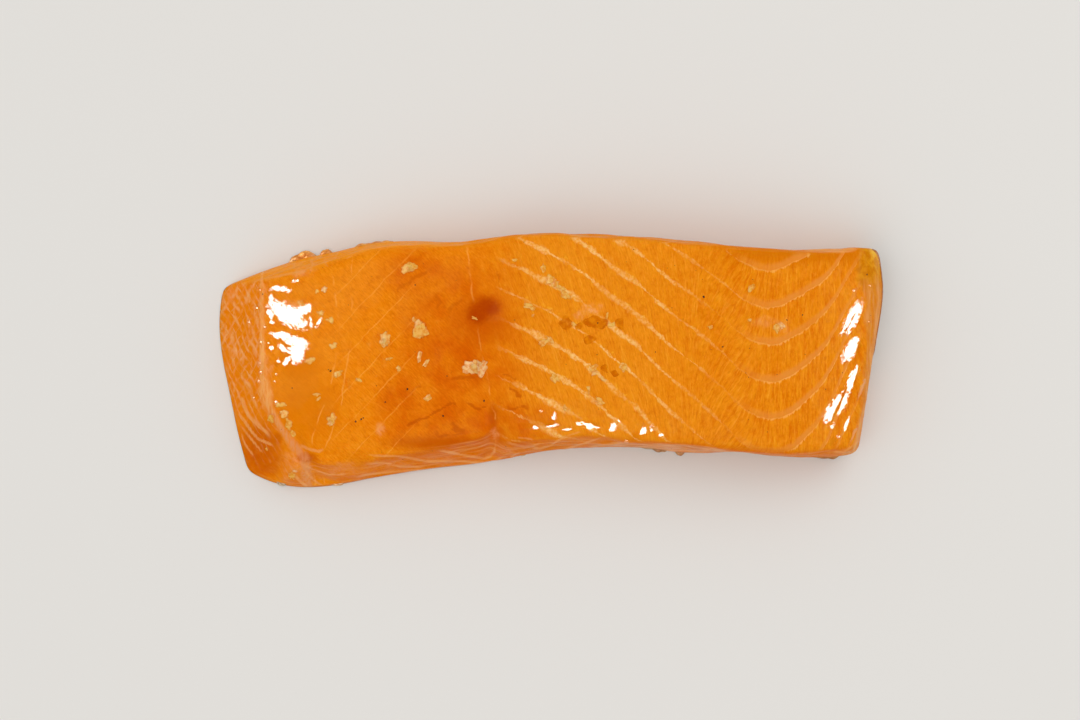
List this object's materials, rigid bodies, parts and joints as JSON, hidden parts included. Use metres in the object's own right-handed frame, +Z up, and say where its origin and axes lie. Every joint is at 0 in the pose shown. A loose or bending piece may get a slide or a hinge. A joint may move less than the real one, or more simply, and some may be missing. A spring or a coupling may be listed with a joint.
{
  "type": "smoked salmon portion",
  "caption": "Smoked salmon portion cut across the fillet, thin at the belly end, thick and rounded at the loin end, flat on its skin side.",
  "frame": {"origin": "under the middle of the portion's length and width, on the surface it lies on", "axes": "+X from the thin belly end to the thick loin end, +Y from the front cut side to the back cut side, +Z up from the skin"},
  "size_m": [0.1838, 0.0708, 0.023],
  "materials": {
    "smoked_flesh": "wet, glossy orange flesh with pale fat lines, and dark scaly skin underneath"
  },
  "bodies": {
    "root": {"salmon_fillet": "smoked_flesh"}
  },
  "joints": []
}
